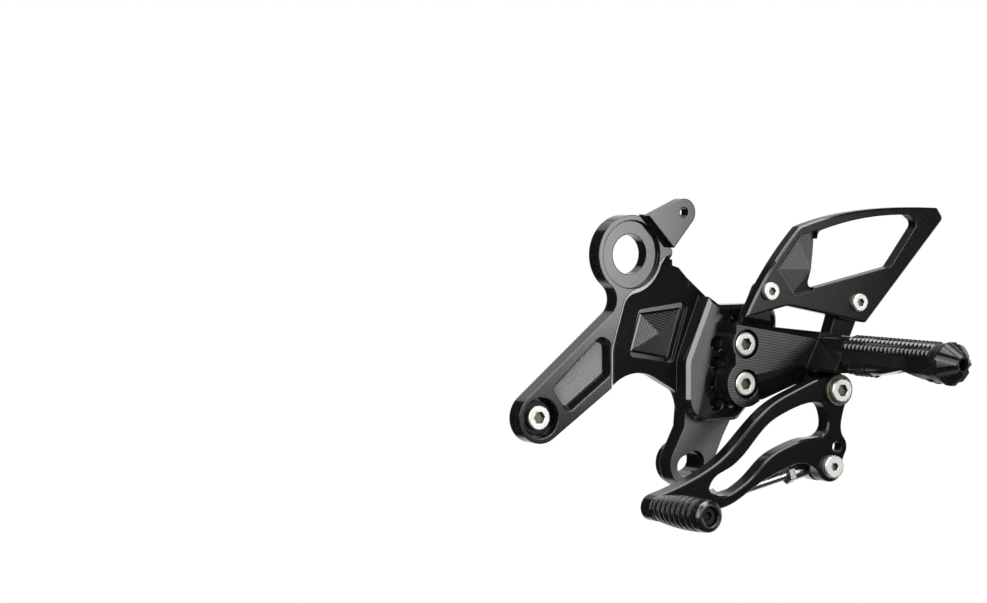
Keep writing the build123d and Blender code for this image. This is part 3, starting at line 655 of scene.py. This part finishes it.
def toward(azimuth, elevation):
    """Direction from the object, by angle round it and above the horizon."""
    level = math.cos(elevation)
    return Vector((math.sin(azimuth) * level, -math.cos(azimuth) * level, math.sin(elevation)))


def soft_box(name, left, right, low, high, brightness):
    """Area lamp that fills a window of the view from the object, given in degrees."""
    distance = stage().lamp_distance
    back = toward(math.radians((left + right) / 2), math.radians((low + high) / 2))
    light = bpy.data.lights.new(name, "AREA")
    light.shape = "RECTANGLE"
    light.size = 2 * distance * math.tan(math.radians(right - left) / 2)
    light.size_y = 2 * distance * math.tan(math.radians(high - low) / 2)
    light.energy = LAMP_GAIN * light.size * light.size_y * brightness
    lamp = bpy.data.objects.new(name, light)
    bpy.context.scene.collection.objects.link(lamp)
    bottom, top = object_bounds()
    lamp.location = (bottom + top) / 2 + back * distance
    lamp.rotation_euler = (-back).to_track_quat("-Z", "Y").to_euler()


def by_ray(tree, lit, seen, mirrored):
    """Mix of three shaders: for the light on the object, for the camera and for what shiny faces mirror."""
    path = node(tree, "ShaderNodeLightPath")
    clear = calc(tree, "MAXIMUM", path.outputs["Is Camera Ray"], path.outputs["Is Transmission Ray"])
    plain = node(tree, "ShaderNodeMixShader", {0: clear, 1: lit, 2: seen}).outputs[0]
    glossy = path.outputs["Is Glossy Ray"]
    return node(tree, "ShaderNodeMixShader", {0: glossy, 1: plain, 2: mirrored}).outputs[0]


def white_sector(tree, heading, forward, least):
    """Number that is one for directions behind the object, as the camera sees it, and else a least value."""
    facing = node(tree, "ShaderNodeVectorMath", {0: heading, 1: forward}, operation="DOT_PRODUCT")
    sector = node(tree, "ShaderNodeMapRange", {
        "Value": facing.outputs["Value"], "From Min": WHITE_FROM, "From Max": WHITE_FULL,
        "To Min": least, "To Max": 1.0}, interpolation_type="SMOOTHSTEP")
    return sector.outputs["Result"]


def make_world(scene):
    """White behind the object and to the camera, dim in front of it."""
    world = bpy.data.worlds.new("studio")
    scene.world = world
    world.use_nodes = True
    tree = world.node_tree
    forward = -toward(stage().azimuth, stage().elevation)
    heading = node(tree, "ShaderNodeTexCoord").outputs["Generated"]
    behind = white_sector(tree, heading, forward, stage().surround)
    mirrored = node(tree, "ShaderNodeBackground", {"Color": behind, "Strength": 1.0}).outputs[0]
    white = node(tree, "ShaderNodeBackground", {"Color": (1, 1, 1, 1), "Strength": 1.0}).outputs[0]
    lit = tree.nodes["Background"]
    lit.inputs["Color"].default_value = (AMBIENT, AMBIENT, AMBIENT, 1)
    shown = by_ray(tree, lit.outputs[0], white, mirrored)
    tree.links.new(shown, tree.nodes["World Output"].inputs["Surface"])


def make_floor(scene):
    """Pale floor that holds the shadow round the object and runs out to plain white."""
    low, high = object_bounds()
    mesh = bpy.data.meshes.new("floor")
    corners = [(x * FLOOR_REACH, y * FLOOR_REACH, 0) for x, y in ((-1, -1), (1, -1), (1, 1), (-1, 1))]
    mesh.from_pydata(corners, [], [(0, 1, 2, 3)])
    floor = bpy.data.objects.new("floor", mesh)
    floor.location = ((low.x + high.x) / 2, (low.y + high.y) / 2, low.z - stage().floor_drop)
    scene.collection.objects.link(floor)
    material, shader = new_material("pale_floor")
    tree = material.node_tree
    shader.inputs["Base Color"].default_value = (*finish().floor, 1)
    shader.inputs["Roughness"].default_value = FLOOR_ROUGHNESS
    place = object_place(tree)
    forward = -toward(stage().azimuth, 0)
    heading = node(tree, "ShaderNodeVectorMath", {0: place}, operation="NORMALIZE").outputs["Vector"]
    away = node(tree, "ShaderNodeVectorMath", {0: place}, operation="LENGTH").outputs["Value"]
    far = node(tree, "ShaderNodeMapRange", {
        "Value": away, "From Min": SHADOW_FROM, "From Max": SHADOW_END},
        interpolation_type="SMOOTHSTEP").outputs["Result"]
    glow = node(tree, "ShaderNodeEmission").outputs[0]
    seen = node(tree, "ShaderNodeMixShader", {0: far, 1: shader.outputs[0], 2: glow}).outputs[0]
    dimmed = white_sector(tree, heading, forward, stage().surround)
    mirrored = node(tree, "ShaderNodeEmission", {"Color": dimmed}).outputs[0]
    shown = by_ray(tree, shader.outputs[0], seen, mirrored)
    tree.links.new(shown, tree.nodes["Material Output"].inputs["Surface"])
    mesh.materials.append(material)
    floor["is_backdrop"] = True


def make_camera(scene):
    camera = bpy.data.cameras.new("camera")
    camera.lens = stage().lens
    camera.clip_end = VIEW_REACH
    eye = bpy.data.objects.new("camera", camera)
    scene.collection.objects.link(eye)
    back = toward(stage().azimuth, stage().elevation)
    eye.location = Vector(stage().aim) + back * stage().distance
    eye.rotation_euler = (-back).to_track_quat("-Z", "Y").to_euler()
    scene.camera = eye


class REARSET_OT_stage(bpy.types.Operator):
    """Makes the floor, the white surroundings, the lamps and the camera."""

    bl_idname = "rearset.stage"
    bl_label = "Stage"

    def execute(self, context):
        scene = context.scene
        scene.view_settings.view_transform = "Standard"
        make_world(scene)
        make_floor(scene)
        for name, (window, source, share) in LAMPS.items():
            soft_box(name, *window, share * getattr(stage(), source))
        make_camera(scene)
        return {"FINISHED"}


class REARSET_PT_panel(bpy.types.Panel):
    """Lists the steps that dress the footrest."""

    bl_idname = "REARSET_PT_panel"
    bl_label = "Rear Set"
    bl_space_type = "VIEW_3D"
    bl_region_type = "UI"
    bl_category = "Rear Set"

    def draw(self, context):
        for operator in OPERATORS:
            self.layout.operator(operator.bl_idname)


OPERATORS = (REARSET_OT_black_parts, REARSET_OT_steel_parts, REARSET_OT_knurl, REARSET_OT_stage)
CLASSES = (RearSetFinish, RearSetSizes, RearSetStage, *OPERATORS, REARSET_PT_panel)


def register():
    for cls in CLASSES:
        bpy.utils.register_class(cls)
    bpy.types.Scene.rear_set_finish = bpy.props.PointerProperty(type=RearSetFinish)
    bpy.types.Scene.rear_set_sizes = bpy.props.PointerProperty(type=RearSetSizes)
    bpy.types.Scene.rear_set_stage = bpy.props.PointerProperty(type=RearSetStage)


def unregister():
    del bpy.types.Scene.rear_set_finish
    del bpy.types.Scene.rear_set_sizes
    del bpy.types.Scene.rear_set_stage
    for cls in reversed(CLASSES):
        bpy.utils.unregister_class(cls)


def main():
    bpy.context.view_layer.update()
    register()
    bpy.ops.rearset.black_parts()
    bpy.ops.rearset.steel_parts()
    bpy.ops.rearset.knurl()
    bpy.ops.rearset.stage()


if __name__ == "__main__":
    main()
